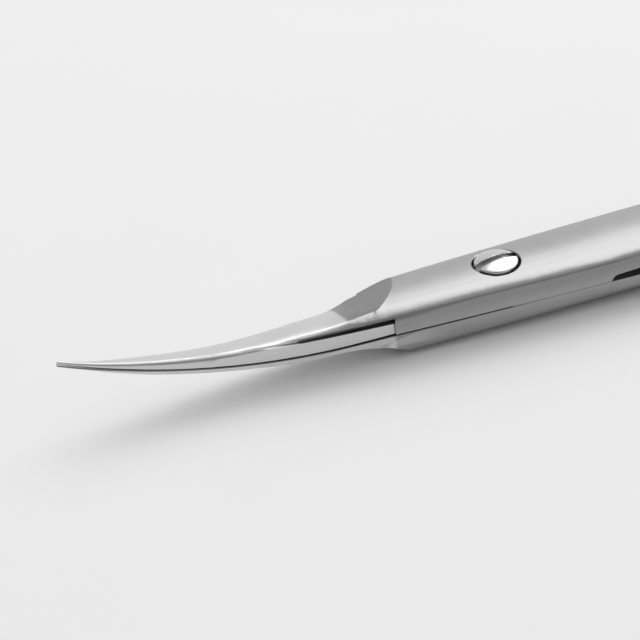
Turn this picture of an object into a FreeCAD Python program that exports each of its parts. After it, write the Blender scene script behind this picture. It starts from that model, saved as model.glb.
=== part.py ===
"""Cuticle scissors: two forged halves that turn on one slotted pivot screw.

Millimetres. The pivot axis is Z and the closed scissors lie on the plane z = 0.
The blade tips point to -X and the finger rings to +X.
The upper half carries the screw head: the back of its blade is on -Y and its shank on +Y.
The lower half is its partner: the back of its blade is on +Y and its shank on -Y.
"""
import os
import re

import FreeCAD, Part
import Sketcher
from FreeCAD import Placement, Rotation, Vector

SIZES = [
    # Joint where the two halves lap over each other
    ("parting_height", 2.1, "flat on which the halves slide, above the rest plane"),
    ("top_height", 4.6, "crown of the upper half above the rest plane"),
    ("shoulder_reach", 9.3, "pivot to the shoulder where the blade begins"),
    ("lap_front", 10.6, "pivot to the front of the joint's plate, inside the blade's root"),
    ("front_half", 2.255, "half width of the joint's plate at its front"),
    ("pivot_half", 2.84, "half width of the joint at the pivot"),
    ("lap_half", 3.28, "half width of the joint at its rear corners"),
    ("lap_radius", 14.0, "rear end of the lap, an arc about the pivot"),
    ("lap_play", 0.15, "radial play between the lap's end and the partner's shank"),
    ("crown_radius", 13.0, "radius of the crowned top, across the joint"),
    ("top_round", 0.7, "rounding of the joint's top edges"),
    ("belly_flat", 0.8, "half width of the flat strip along the underside"),
    ("belly_radius", 3.0, "radius of the underside beside its flat strip"),
    ("belly_round", 0.6, "rounding of the joint's lower edges"),
    ("ride_gap", 0.03, "running gap of the halves behind the pivot"),
    ("seam_gap", 0.09, "gap of the halves ahead of the pivot"),
    ("relief_start", 8.65, "radius where the relief under the upper half begins"),
    ("relief_run", 0.55, "radial length of the relief's rounded front"),
    ("relief_nose", 0.6, "radius of the relief's front"),
    ("relief_height", 0.5, "height of the relief behind its front"),
    ("relief_rear", 0.8, "height of the relief at the lap's end"),
    # Pivot screw
    ("screw_diameter", 2.3, "plain diameter of the screw"),
    ("screw_play", 0.03, "radial play of the screw in its bores"),
    ("head_diameter", 3.36, "diameter of the screw head"),
    ("recess_play", 0.2, "radial gap round the screw head"),
    ("recess_depth", 1.1, "depth of the head's recess under the crown"),
    ("seat_gap", 0.02, "gap under the screw head"),
    ("rim_height", 0.95, "height of the head's straight rim"),
    ("dome_height", 0.5, "rise of the domed head above its rim"),
    ("slot_width", 0.6, "width of the driver slot"),
    ("slot_depth", 0.7, "depth of the driver slot from the dome's top"),
    ("slot_turn", 7.0, "turn of the driver slot from the scissors' long axis, degrees"),
    ("screw_chamfer", 0.2, "chamfer of the screw's flush end"),
    # Blades
    ("blade_reach", 35.1, "pivot to the blade tip"),
    ("root_half", 2.32, "half width of the blade at the shoulder, on its back"),
    ("edge_inset", 0.02, "how far the cutting edge lies inside the back's half width"),
    ("tip_half", 0.14, "half width of the blade at the tip"),
    ("taper_power", 1.4, "fullness of the blade's outline seen from above"),
    ("curve_start", 13.0, "pivot to where the blades begin to curve upwards"),
    ("curve_radius", 62.0, "radius of the upward curve"),
    ("ramp_reach", 12.7, "pivot to the foot of the ramp from joint to blade"),
    ("blade_crown", 7.0, "radius of the blade's outer face, across the blade"),
    ("root_crown", 25.0, "radius of the blade's outer face at the shoulder"),
    ("crown_reach", 15.0, "pivot to where the outer face has its full crown"),
    ("bevel_lean", 0.15, "lean of the bevel at the cutting edge, run over rise"),
    ("edge_land", 0.04, "thickness left at the cutting edge"),
    ("tip_spine", 0.26, "height of the blade's back at the tip"),
    ("tip_edge", 0.18, "height of the bevel at the tip"),
    ("tip_ridge", 0.12, "rounding of the back's outer corner at the tip"),
    ("upper_spine", 1.95, "height of the upper blade's back at the ramp's foot"),
    ("upper_edge", 0.97, "height of the upper blade's bevel at the ramp's foot"),
    ("upper_ridge", 0.7, "rounding of the upper back's outer corner at the shoulder"),
    ("lower_spine", 1.5, "height of the lower blade's back at the ramp's foot"),
    ("lower_edge", 0.46, "height of the lower blade's bevel at the ramp's foot"),
    ("lower_ridge", 0.75, "rounding of the lower back's outer corner at the shoulder"),
    ("spine_power", 1.25, "how fast the backs fall towards the tip"),
    ("spine_ramp_power", 2.0, "how fast the backs climb to the joint"),
    ("upper_edge_power", 2.6, "how fast the upper bevel falls towards the tip"),
    ("upper_ramp_power", 8.2, "how fast the upper bevel climbs to the joint"),
    ("lower_edge_power", 0.35, "how fast the lower bevel falls towards the tip"),
    ("lower_ramp_power", 9.4, "how fast the lower bevel climbs to the joint"),
    ("root_inset", 0.13, "how far the back lies under the joint's crown at the blade's root"),
    ("root_drop", 0.27, "how far the bevel lies under the back at the blade's root"),
    # Ground facet and groove along the back of each blade
    ("facet_depth", 0.16, "depth of the ground facet at the shoulder"),
    ("groove_depth", 0.34, "depth of the groove above the facet at the shoulder"),
    ("facet_height", 0.95, "height of the facet at the shoulder"),
    ("groove_height", 0.55, "height of the groove at the shoulder"),
    ("groove_reach", 25.5, "pivot to where facet and groove run out"),
    # Oblique ramp ground across the joint's front
    ("ramp_start", 7.2, "pivot to the ramp's upper line"),
    ("ramp_turn", 35.0, "turn of the ramp's line from square across, degrees"),
    ("ramp_slope", 0.33, "fall of the upper half's ramp, rise over run"),
    ("under_slope", 0.5, "fall of the lower half's ramp, rise over run"),
    ("ramp_drop", 0.05, "depth of the ramp at its upper line"),
    ("ramp_lead", 5.5, "pivot to where the ramp's face is still clear of the crown"),
    ("ramp_bend", 10.4, "pivot to where the ramp turns to the blade's own slope"),
    ("ramp_ease", 0.13, "height of the ramp's foot over the blade's two edges"),
    # Shanks and finger rings
    ("shank_gap", 0.2, "gap between the closed shanks"),
    ("shank_start", 11.0, "pivot to the shank's front, inside the lap"),
    ("shank_inset", 0.06, "how far the shank's front lies inside the lap's side"),
    ("shank_sink", 0.01, "how far the shank's front lies under the lap's crown"),
    ("shank_round", 0.25, "rounding of the shank's inner edges"),
    ("waist_reach", 22.0, "pivot to where the shank begins to bow outwards"),
    ("flare_width", 7.6, "width of the shank where it runs into the ring"),
    ("flare_power", 4.0, "how late the shank widens towards the ring"),
    ("flare_round", 1.5, "rounding of the shank's edges where it runs into the ring"),
    ("flare_inset", 0.12, "how far the shank's end lies inside the ring's top and bottom"),
    ("ring_reach", 57.6, "pivot to the ring's middle"),
    ("ring_offset", 13.9, "ring's middle from the scissors' long axis"),
    ("ring_long", 15.4, "half length of the ring along its section's middle"),
    ("ring_short", 11.8, "half width of the ring along its section's middle"),
    ("ring_end", 9.6, "radius of the ring's two ends along its section's middle"),
    ("ring_root", 38.0, "bearing of the shank's end on the ring's front arc, degrees"),
    ("ring_width", 3.4, "width of the ring's oval section"),
    ("ring_height", 4.2, "height of the ring's oval section"),
]

# Places where a blade's section is drawn, from the shoulder (0) to the tip (1)
ROOT_STATIONS = (-0.03, 0.02, 0.08)
BLADE_STATIONS = (0.13, 0.22, 0.4, 0.6, 0.8, 1.0)
# Places where the groove's section is drawn, from the shoulder (0) to its end (1)
GROOVE_STATIONS = (0.0, 0.15, 0.4, 0.7, 1.0)
# Share of facet and groove still left at their end, so that the last section stays open
GROOVE_REST = 0.03
# Swell of the facet's upper edge along its length, and the heights of the groove's floor
FACET_SWELL = 0.9
GROOVE_FLOOR = (0.3, 0.8)

# Number of straight spans along the shank's bow, and of straight sides round the ring's section
SHANK_SPANS = 9
RING_SIDES = 16
# Where the shank ends inside the ring, outwards from its section's middle as a share of its width
ROOT_SHARE = 0.2
# How far out the underside's arc is drawn, as a share of its radius
BELLY_SHARE = 0.9
# Arc of a rounded corner, as a multiple of its legs: at 1 it meets both sides smoothly
CORNER_ARC = 1.05
# Depth of what is cut away later, and the length of cuts that run out of the body
SKIRT = "groove_height"
CLEAR = "blade_reach"
# Share of the lower plate's thickness that tells its side edges from those on its faces
SLIVER = 0.05

doc = FreeCAD.newDocument("cuticle_scissors")
sheet = doc.addObject("Spreadsheet::Sheet", "Sizes")
for row, (alias, number, meaning) in enumerate(SIZES, start=1):
    sheet.set(f"A{row}", alias)
    sheet.set(f"B{row}", str(number))
    sheet.set(f"C{row}", meaning)
    sheet.setAlias(f"B{row}", alias)
doc.recompute()

ALIAS = re.compile(r"\b(" + "|".join(alias for alias, _, _ in SIZES) + r")\b")


def bound(text):
    """Turn size names in an expression into references to the sheet's cells."""
    return ALIAS.sub(r"Sizes.\1", text)


def value(text):
    """Present value of an expression."""
    return float(sheet.evalExpression(bound(text)))


def new_body(name):
    body = doc.addObject("PartDesign::Body", name)
    body.Label = name
    return body


def sketch_on(body, name, role, shift="0", across="0", turn="0"):
    """Sketch on one of the body's own planes, moved along its normal, sideways and turned."""
    plane = [item for item in body.Origin.OriginFeatures if item.Role == role][0]
    sketch = body.newObject("Sketcher::SketchObject", name)
    sketch.AttachmentSupport = (plane, "")
    sketch.MapMode = "FlatFace"
    sketch.AttachmentOffset = Placement(Vector(0, 0, 0), Rotation(Vector(0, 1, 0), 1.0))
    sketch.setExpression("AttachmentOffset.Base.x", bound(across))
    sketch.setExpression("AttachmentOffset.Base.z", bound(shift))
    sketch.setExpression("AttachmentOffset.Rotation.Angle", bound(turn))
    return sketch


def fix_point(sketch, geometry, end, point):
    """Hold one end of a sketch element at a pair of expressions."""
    for kind, text in zip(("DistanceX", "DistanceY"), point):
        constraint = Sketcher.Constraint(kind, -1, 1, geometry, end, value(text))
        index = sketch.addConstraint(constraint)
        sketch.setExpression(f"Constraints[{index}]", bound(text))


def fix_radius(sketch, geometry, text):
    index = sketch.addConstraint(Sketcher.Constraint("Radius", geometry, value(text)))
    sketch.setExpression(f"Constraints[{index}]", bound(text))


def arc_between(start, end, radius):
    """Short arc that runs anticlockwise from start to end."""
    middle = (start + end) * 0.5
    chord = end - start
    depth = (radius * radius - chord.Length * chord.Length / 4) ** 0.5
    inward = Vector(-chord.y, chord.x, 0).normalize()
    centre = middle + inward * depth
    top = centre - inward * radius
    return Part.Arc(start, top, end)


def outline(sketch, corners, hollow=()):
    """Closed outline. Each corner is (across, up) or (across, up, radius of the arc to the next).

    Arcs swell outwards, apart from those that start at a corner listed in hollow.
    """
    points = [Vector(value(corner[0]), value(corner[1]), 0) for corner in corners]
    area = 0.0
    for index, point in enumerate(points):
        area += points[index - 1].x * point.y - point.x * points[index - 1].y
    order = list(range(len(corners)))
    if area < 0:
        order.reverse()
    elements = []
    for place, here in enumerate(order):
        there = order[(place + 1) % len(order)]
        arc_owner = here if area > 0 else there
        radius = corners[arc_owner][2] if len(corners[arc_owner]) > 2 else None
        start, end = points[here], points[there]
        if radius is None:
            geometry = sketch.addGeometry(Part.LineSegment(start, end))
            elements.append((geometry, 1, 2))
        elif arc_owner in hollow:
            geometry = sketch.addGeometry(arc_between(end, start, value(radius)))
            elements.append((geometry, 2, 1))
        else:
            geometry = sketch.addGeometry(arc_between(start, end, value(radius)))
            elements.append((geometry, 1, 2))
        if radius is not None:
            fix_radius(sketch, geometry, radius)
    for place, here in enumerate(order):
        geometry, first, _ = elements[place]
        before, _, last = elements[place - 1]
        sketch.addConstraint(Sketcher.Constraint("Coincident", before, last, geometry, first))
        fix_point(sketch, geometry, first, corners[here])
    return sketch


def disc(sketch, centre, radius):
    """Circle at a pair of expressions."""
    middle = Vector(value(centre[0]), value(centre[1]), 0)
    geometry = sketch.addGeometry(Part.Circle(middle, Vector(0, 0, 1), value(radius)))
    fix_radius(sketch, geometry, radius)
    fix_point(sketch, geometry, 3, centre)
    return sketch


def loft(body, kind, name, sections):
    feature = body.newObject(f"PartDesign::{kind}Loft", name)
    feature.Profile = sections[0]
    feature.Sections = sections[1:]
    doc.recompute()
    return feature


def pad(body, name, sketch, length):
    feature = body.newObject("PartDesign::Pad", name)
    feature.Profile = sketch
    feature.setExpression("Length", bound(length))
    doc.recompute()
    return feature


def cut_through(body, name, sketch):
    """Pocket that runs out of the body on both sides of its sketch."""
    feature = body.newObject("PartDesign::Pocket", name)
    feature.Profile = sketch
    feature.Type = "ThroughAll"
    feature.Midplane = True
    doc.recompute()
    return feature


def half_turn_groove(body, name, sketch):
    """Cut of half a turn about the pivot axis, a quarter to each side of its sketch."""
    feature = body.newObject("PartDesign::Groove", name)
    feature.Profile = sketch
    feature.ReferenceAxis = (sketch, ["V_Axis"])
    feature.Midplane = True
    feature.Angle = 180.0
    doc.recompute()
    return feature


def round_edges(body, name, base, radius, chosen):
    """Fillet on the edges of a feature that a test picks."""
    names = [f"Edge{i}" for i, edge in enumerate(base.Shape.Edges, start=1) if chosen(edge)]
    feature = body.newObject("PartDesign::Fillet", name)
    feature.Base = (base, names)
    feature.setExpression("Radius", bound(radius))
    doc.recompute()
    return feature


def rise(distance):
    """Height of the curved parting face above the joint's flat, at a distance from the pivot."""
    run = f"max({distance} - curve_start; 0)"
    return f"(curve_radius - sqrt(curve_radius^2 - ({run})^2))"


class Blade:
    """Sections of one blade. Back and up are the signs of its back's side and its outer face."""

    def __init__(self, name, back, up):
        self.spine = f"{name}_spine"
        self.edge = f"{name}_edge"
        self.ridge = f"{name}_ridge"
        self.edge_power = f"{name}_edge_power"
        self.ramp_power = f"{name}_ramp_power"
        self.back = back
        self.up = up

    def reach(self, share, end="blade_reach"):
        return f"(shoulder_reach + ({share}) * ({end} - shoulder_reach))"

    def half(self, share):
        full = f"max({share}; 0)"
        return f"(tip_half + (root_half - tip_half) * (1 - ({full})^taper_power))"

    def fall(self, distance, root, tip, power):
        """Height that falls from the ramp's foot to the tip, and climbs the ramp behind the foot."""
        share = f"({distance} - ramp_reach) / (blade_reach - ramp_reach)"
        return f"({tip} + ({root} - {tip}) * (1 - {share})^{power})"

    def place(self, across, above, distance):
        """Point of a section: across towards the back, above the parting face."""
        return (
            f"{self.back} * ({across})",
            f"parting_height + {rise(distance)} + {self.up} * ({above})",
        )

    def section(self, body, index, share, spine_power, edge_power):
        distance = self.reach(share)
        half = self.half(share)
        spine = f"min({self.fall(distance, self.spine, 'tip_spine', spine_power)}; {self.cap()})"
        edge = f"min({self.fall(distance, self.edge, 'tip_edge', edge_power)}; {self.cap()} - root_drop)"
        fade = f"max((crown_reach - {distance}) / (crown_reach - shoulder_reach); 0)"
        crown = f"(blade_crown + (root_crown - blade_crown) * {fade})"
        ridge = f"(tip_ridge + ({self.ridge} - tip_ridge) * (1 - {share}))"
        rim = f"-({half} - edge_inset * (1 - {share}))"
        below = f"-{SKIRT}"
        sketch = sketch_on(body, f"blade_section_{index}", "YZ_Plane", shift=f"-{distance}")
        corners = [
            self.place(half, below, distance),
            self.place(rim, below, distance),
            self.place(rim, "edge_land", distance),
            self.place(f"{rim} + bevel_lean * {edge}", edge, distance) + (crown,),
            self.place(f"{half} - {ridge}", spine, distance) + (f"{ridge} * {CORNER_ARC}",),
            self.place(half, f"{spine} - {ridge}", distance),
        ]
        return outline(sketch, corners)

    def cap(self):
        """Most that the back may rise at its root, just inside the joint."""
        if self.up > 0:
            return "(top_height - parting_height - root_inset)"
        return "(parting_height - root_inset)"

    def build(self, body):
        sections = []
        for stations, spine_power, edge_power in (
            (ROOT_STATIONS, "spine_ramp_power", self.ramp_power),
            (BLADE_STATIONS, "spine_power", self.edge_power),
        ):
            for share in stations:
                sections.append(self.section(body, len(sections), share, spine_power, edge_power))
        return loft(body, "Additive", "blade", sections)

    def grind_ramp(self, body):
        """Oblique ramp from the joint's crown that twists to the slope of the blade's outer face."""
        thick = "(top_height - parting_height)"
        wide = "lap_half"

        def plane(distance, outward):
            along = f"(cos(ramp_turn) * {distance} + sin(ramp_turn) * {outward} - ramp_start)"
            return f"{thick} - ramp_drop - ramp_slope * {along}"

        half = self.half("((ramp_reach - shoulder_reach) / (blade_reach - shoulder_reach))")
        tilt = f"(({self.spine} - {self.edge}) / (2 * {half} - {self.ridge}))"
        foot = (
            f"{self.edge} + ramp_ease - {tilt} * ({wide} - {half})",
            f"{self.spine} + ramp_ease + {tilt} * ({wide} - {half} + {self.ridge})",
        )
        sections = []
        for distance, heights in (
            ("ramp_lead", (plane("ramp_lead", wide), plane("ramp_lead", f"-{wide}"))),
            ("ramp_bend", (plane("ramp_bend", wide), plane("ramp_bend", f"-{wide}"))),
            ("ramp_reach", foot),
        ):
            name = f"ramp_section_{len(sections)}"
            sketch = sketch_on(body, name, "YZ_Plane", shift=f"-{distance}")
            corners = [
                self.place(f"-{wide}", heights[0], distance),
                self.place(wide, heights[1], distance),
                self.place(wide, f"{thick} + {wide}", distance),
                self.place(f"-{wide}", f"{thick} + {wide}", distance),
            ]
            sections.append(outline(sketch, corners))
        face = loft(body, "Subtractive", "ramp", sections)
        face.Ruled = True
        doc.recompute()

    def grind_back(self, body):
        """Flat facet along the back with a narrow groove above it, both running out forwards."""
        sections = []
        for index, share in enumerate(GROOVE_STATIONS):
            distance = self.reach(share, "groove_reach")
            whole = f"(({distance} - shoulder_reach) / (blade_reach - shoulder_reach))"
            half = self.half(whole)
            left = f"(1 + {GROOVE_REST} - {share})"
            facet = f"({half} - facet_depth * {left})"
            floor = f"{facet} - groove_depth * {left}"
            top = f"(facet_height * (1 + {FACET_SWELL} * {share} - ({share})^2))"
            outside = f"{half} + {SKIRT}"
            below = f"-2 * {SKIRT}"
            sketch = sketch_on(body, f"groove_section_{index}", "YZ_Plane", shift=f"-{distance}")
            corners = [
                self.place(outside, below, distance),
                self.place(facet, below, distance),
                self.place(facet, top, distance),
                self.place(floor, f"{top} + {GROOVE_FLOOR[0]} * groove_height * {left}", distance),
                self.place(floor, f"{top} + {GROOVE_FLOOR[1]} * groove_height * {left}", distance),
                self.place(outside, f"{top} + groove_height * {left}", distance),
            ]
            sections.append(outline(sketch, corners))
        return loft(body, "Subtractive", "facet_and_groove", sections)


def lap_plate(body, base, thickness):
    """Flat plate of the joint: bowed sides and a rear end that is an arc about the pivot."""
    sketch = sketch_on(body, "lap_outline", "XY_Plane", shift=base)
    rear = "sqrt(lap_radius^2 - lap_half^2)"
    span = f"({rear} + lap_front)"
    bow = f"(pivot_half - front_half - (lap_half - front_half) * lap_front / {span})"
    side = f"(lap_front * {rear} / (2 * {bow}))"
    corners = [
        ("-lap_front", "front_half"),
        ("-lap_front", "-front_half", side),
        (rear, "-lap_half", "lap_radius"),
        (rear, "lap_half", side),
    ]
    outline(sketch, corners)
    return pad(body, "lap_plate", sketch, thickness)


def long_edges_at(height_test):
    """Test for the plate's two long edges on its top or bottom face."""
    def chosen(edge):
        box = edge.BoundBox
        return box.XLength > value("lap_front") and height_test(box)
    return chosen


def belly_rise(across):
    """Height of the rounded underside at a distance from the long axis."""
    return f"(belly_radius - sqrt(belly_radius^2 - ({across} - belly_flat)^2))"


def underside_ramp(body):
    """Oblique plane ground across the front of the lower joint, rising towards the blade."""
    sketch = sketch_on(body, "ramp_outline", "XZ_Plane", turn="ramp_turn")
    corners = [
        ("-ramp_start", "ramp_drop"),
        (f"-ramp_start - {CLEAR}", f"ramp_drop + under_slope * {CLEAR}"),
        (f"-ramp_start - {CLEAR}", f"-{CLEAR}"),
        ("-ramp_start", f"-{CLEAR}"),
    ]
    outline(sketch, corners)
    return cut_through(body, "ramp", sketch)


def blend(start, end, share):
    """Expression that runs from one expression to another as the share runs from 0 to 1."""
    return f"(({start}) * (1 - {share}) + ({end}) * {share})"


def shank(body, side):
    """Shank that leaves the lap straight, bows outwards and flares towards its finger ring.

    Sections are drawn about their middle: u runs outwards and v upwards.
    """
    inner = "shank_gap / 2"
    outer = "(lap_half - shank_inset)"
    middle = f"({inner} + {outer}) / 2"
    half = f"({outer} - {inner}) / 2"
    top = "top_height - shank_sink"
    edge = f"{top} - crown_radius + sqrt(crown_radius^2 - {outer}^2)"
    at_lap = [
        (f"shank_round - {half}", "0", "shank_round"),
        (f"belly_flat - {middle}", "0", "belly_radius"),
        (half, belly_rise(outer), "belly_radius"),
        (half, f"{edge} - top_round", f"top_round * {CORNER_ARC}"),
        (f"{half} - top_round", edge, "top_round"),
        (f"shank_round - {half}", top, "shank_round"),
        (f"-{half}", f"{top} - shank_round", "shank_round"),
        (f"-{half}", "shank_round", "shank_round"),
    ]
    wide = "flare_width / 2"
    roof = "(ring_height - flare_inset)"
    at_ring = [
        (f"flare_round - {wide}", "flare_inset"),
        (f"{wide} - flare_round", "flare_inset"),
        (wide, "flare_inset + flare_round"),
        (wide, f"{roof} - flare_round"),
        (f"{wide} - flare_round", roof),
        (f"flare_round - {wide}", roof),
        (f"-{wide}", f"{roof} - flare_round"),
        (f"-{wide}", "flare_inset + flare_round"),
    ]

    def section(name, along, across, turn, share):
        sketch = sketch_on(
            body, name, "YZ_Plane", shift=along, across=f"{side} * ({across})", turn=f"{side} * {turn}"
        )
        corners = []
        for index, (lap, ring) in enumerate(zip(at_lap, at_ring)):
            u = f"{side} * {blend(lap[0], ring[0], share)}"
            corner = (u, blend(lap[1], ring[1], share))
            if index % 2:
                corner += (blend(lap[2], "flare_round", share),)
            corners.append(corner)
        return outline(sketch, corners)

    front = section("shank_front", "shank_start", middle, "0", "0")
    pad(body, "straight_shank", front, "waist_reach - shank_start")
    reach = f"(ring_end + ring_width * {ROOT_SHARE})"
    run = f"(ring_reach - ring_long + ring_end - {reach} * cos(ring_root) - waist_reach)"
    step = f"(ring_offset - {reach} * sin(ring_root) - {middle})"
    radius = f"(({run}^2 + {step}^2) / (2 * {step}))"
    sections = []
    for index in range(SHANK_SPANS + 1):
        share = f"({index} / {SHANK_SPANS})"
        turn = f"(2 * atan({step} / {run}) * {share})"
        along = f"waist_reach + {radius} * sin({turn})"
        across = f"{middle} + {radius} * (1 - cos({turn}))"
        sections.append(section(f"shank_section_{index}", along, across, turn, f"{share}^flare_power"))
    bow = loft(body, "Additive", "bowed_shank", sections)
    bow.Ruled = True
    doc.recompute()


def ring_arc(body, name, role, shift, middle, pivot, angle):
    """Stretch of the finger ring: its section, close to an oval, turned about an upright axis."""
    sketch = sketch_on(body, f"{name}_section", role, shift=shift)
    foot = Vector(value(pivot), 0, 0)
    axis = sketch.addGeometry(Part.LineSegment(foot, foot + Vector(0, 1, 0)), True)
    fix_point(sketch, axis, 1, (pivot, "0"))
    fix_point(sketch, axis, 2, (pivot, "ring_height"))
    corners = []
    for index in range(RING_SIDES):
        bearing = f"({index} + 0.5) * 360 / {RING_SIDES}"
        spread = f"(2 * cos(180 / {RING_SIDES}))"
        across = f"{middle} + ring_width * cos({bearing}) / {spread}"
        corners.append((across, f"ring_height * (0.5 + sin({bearing}) / {spread})"))
    outline(sketch, corners)
    feature = body.newObject("PartDesign::Revolution", name)
    feature.Profile = sketch
    feature.ReferenceAxis = (sketch, ["Axis0"])
    feature.Midplane = True
    feature.setExpression("Angle", bound(angle))
    doc.recompute()


def finger_ring(body, side):
    """Oval ring of four arcs that run smoothly into each other: two ends and two flanks."""
    shoulder = "(ring_long - ring_end)"
    flank = f"(({shoulder}^2 + ring_short^2 - ring_end^2) / (2 * (ring_short - ring_end)))"
    end_turn = f"2 * atan(({flank} - ring_short) / {shoulder})"
    flank_turn = f"2 * atan({shoulder} / ({flank} - ring_short))"
    for name, sign in (("ring_rear", 1), ("ring_front", -1)):
        middle = f"ring_reach + {sign} * ring_long"
        pivot = f"ring_reach + {sign} * {shoulder}"
        ring_arc(body, name, "XZ_Plane", f"-{side} * ring_offset", middle, pivot, end_turn)
    for name, sign in (("ring_outside", 1), ("ring_inside", -1)):
        middle = f"{side} * (ring_offset + {sign} * ring_short)"
        pivot = f"{side} * (ring_offset + {sign} * (ring_short - {flank}))"
        ring_arc(body, name, "YZ_Plane", "ring_reach", middle, pivot, flank_turn)


def screw_bores(body, top, head):
    """Bore for the screw, with the head's recess where the head lies."""
    sketch = sketch_on(body, "screw_bore", "XY_Plane")
    disc(sketch, ("0", "0"), "screw_diameter / 2 + screw_play")
    cut_through(body, "bore", sketch)
    if head:
        sketch = sketch_on(body, "head_recess", "XY_Plane", shift=f"{top} - recess_depth")
        disc(sketch, ("0", "0"), "head_diameter / 2 + recess_play")
        recess = body.newObject("PartDesign::Pocket", "recess")
        recess.Profile = sketch
        recess.Reversed = True
        recess.setExpression("Length", bound(f"recess_depth + {CLEAR}"))
        doc.recompute()


def parting_faces(body, up):
    """Sliding faces: a flat at the joint, and ahead of it a face that is turned about the pivot.

    Every point of the curved face keeps its height as the halves turn, so they never bind.
    """
    far_reach = "(blade_reach + root_half)"
    if up > 0:
        front = "parting_height + seam_gap"
        rear = "parting_height + ride_gap"
    else:
        front = "parting_height"
        rear = "parting_height"
    away = f"{-up} * {CLEAR}"
    sketch = sketch_on(body, "blade_face", "XZ_Plane")
    corners = [
        ("0", away),
        ("0", front),
        ("-curve_start", front, "curve_radius"),
        (f"-{far_reach}", f"{front} + {rise(far_reach)}"),
        (f"-{far_reach}", away),
    ]
    outline(sketch, corners, hollow=(2,) if up > 0 else ())
    half_turn_groove(body, "blade_face_cut", sketch)
    sketch = sketch_on(body, "lap_face", "XZ_Plane")
    end = "(lap_radius + lap_play)"
    corners = [("0", away), ("0", rear)]
    if up > 0:
        corners.append(("relief_start", rear, "relief_nose"))
        corners.append(("relief_start + relief_run", "parting_height + relief_height"))
        corners.append((end, "parting_height + relief_rear"))
    else:
        corners.append((end, rear))
    corners.append((end, away))
    outline(sketch, corners)
    half_turn_groove(body, "lap_face_cut", sketch)


def upper_half():
    body = new_body("upper_half")
    plate = lap_plate(body, "parting_height", "top_height - parting_height")
    crown = sketch_on(body, "crown_outline", "YZ_Plane")
    edge_height = "top_height - crown_radius + sqrt(crown_radius^2 - (2 * lap_half)^2)"
    corners = [
        ("2 * lap_half", edge_height),
        ("2 * lap_half", f"top_height + {CLEAR}"),
        ("-2 * lap_half", f"top_height + {CLEAR}"),
        ("-2 * lap_half", edge_height, "crown_radius"),
    ]
    outline(crown, corners, hollow=(3,))
    plate = cut_through(body, "crown", crown)
    is_top = long_edges_at(lambda box: box.ZMin > value("(parting_height + top_height) / 2"))
    round_edges(body, "top_rounding", plate, "top_round", is_top)
    blade = Blade("upper", -1, 1)
    blade.build(body)
    blade.grind_ramp(body)
    blade.grind_back(body)
    shank(body, 1)
    finger_ring(body, 1)
    parting_faces(body, 1)
    screw_bores(body, "top_height", True)
    return body


def lower_half():
    body = new_body("lower_half")
    plate = lap_plate(body, "0", "parting_height")
    belly = sketch_on(body, "belly_outline", "YZ_Plane")
    limit = f"(belly_flat + belly_radius * {BELLY_SHARE})"
    corners = [
        ("belly_flat", "0", "belly_radius"),
        (limit, belly_rise(limit)),
        (f"{CLEAR}", belly_rise(limit)),
        (f"{CLEAR}", f"-{CLEAR}"),
        (f"-{CLEAR}", f"-{CLEAR}"),
        (f"-{CLEAR}", belly_rise(limit)),
        (f"-{limit}", belly_rise(limit), "belly_radius"),
        ("-belly_flat", "0"),
    ]
    outline(belly, corners, hollow=(0, 6))
    plate = cut_through(body, "belly", belly)
    low = value(f"parting_height * {SLIVER}")
    high = value(f"parting_height * (1 - {SLIVER})")
    is_low = long_edges_at(lambda box: box.ZMin > low and box.ZMax < high)
    round_edges(body, "belly_rounding", plate, "belly_round", is_low)
    blade = Blade("lower", 1, -1)
    underside_ramp(body)
    blade.build(body)
    blade.grind_back(body)
    shank(body, -1)
    finger_ring(body, -1)
    parting_faces(body, -1)
    screw_bores(body, "parting_height", False)
    return body


def pivot_screw():
    body = new_body("pivot_screw")
    sketch = sketch_on(body, "screw_profile", "XZ_Plane")
    seat = "(top_height - recess_depth + seat_gap)"
    rim = f"({seat} + rim_height)"
    dome_radius = "((head_diameter / 2)^2 / (2 * dome_height) + dome_height / 2)"
    corners = [
        ("0", "0"),
        ("screw_diameter / 2 - screw_chamfer", "0"),
        ("screw_diameter / 2", "screw_chamfer"),
        ("screw_diameter / 2", seat),
        ("head_diameter / 2", seat),
        ("head_diameter / 2", rim, dome_radius),
        ("0", f"{rim} + dome_height"),
    ]
    outline(sketch, corners)
    turned = body.newObject("PartDesign::Revolution", "turned_screw")
    turned.Profile = sketch
    turned.ReferenceAxis = (sketch, ["V_Axis"])
    turned.Angle = 360.0
    doc.recompute()
    slot = sketch_on(body, "slot_outline", "YZ_Plane", turn="slot_turn")
    floor = f"{rim} + dome_height - slot_depth"
    corners = [
        ("-slot_width / 2", floor),
        ("slot_width / 2", floor),
        ("slot_width / 2", f"{floor} + {CLEAR}"),
        ("-slot_width / 2", f"{floor} + {CLEAR}"),
    ]
    outline(slot, corners)
    cut_through(body, "driver_slot", slot)
    return body


pieces = [upper_half(), lower_half(), pivot_screw()]
doc.recompute()
for item in doc.Objects:
    if "Invalid" in item.State or "Error" in item.State:
        raise RuntimeError(f"{item.Name} failed: {item.State}")
os.makedirs("parts", exist_ok=True)
for piece in pieces:
    shape = piece.Shape
    if shape.isNull() or not shape.isValid():
        raise RuntimeError(f"{piece.Label} has no valid shape")
    print(piece.Label, len(shape.Solids), round(shape.Volume, 2), shape.BoundBox)
    shape.exportStep(f"parts/{piece.Label}.step")
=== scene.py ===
from math import asin, cos, hypot, pi, radians, sin, sqrt

import bpy
from bpy.props import FloatProperty, FloatVectorProperty, PointerProperty
from mathutils import Matrix, Vector


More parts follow.
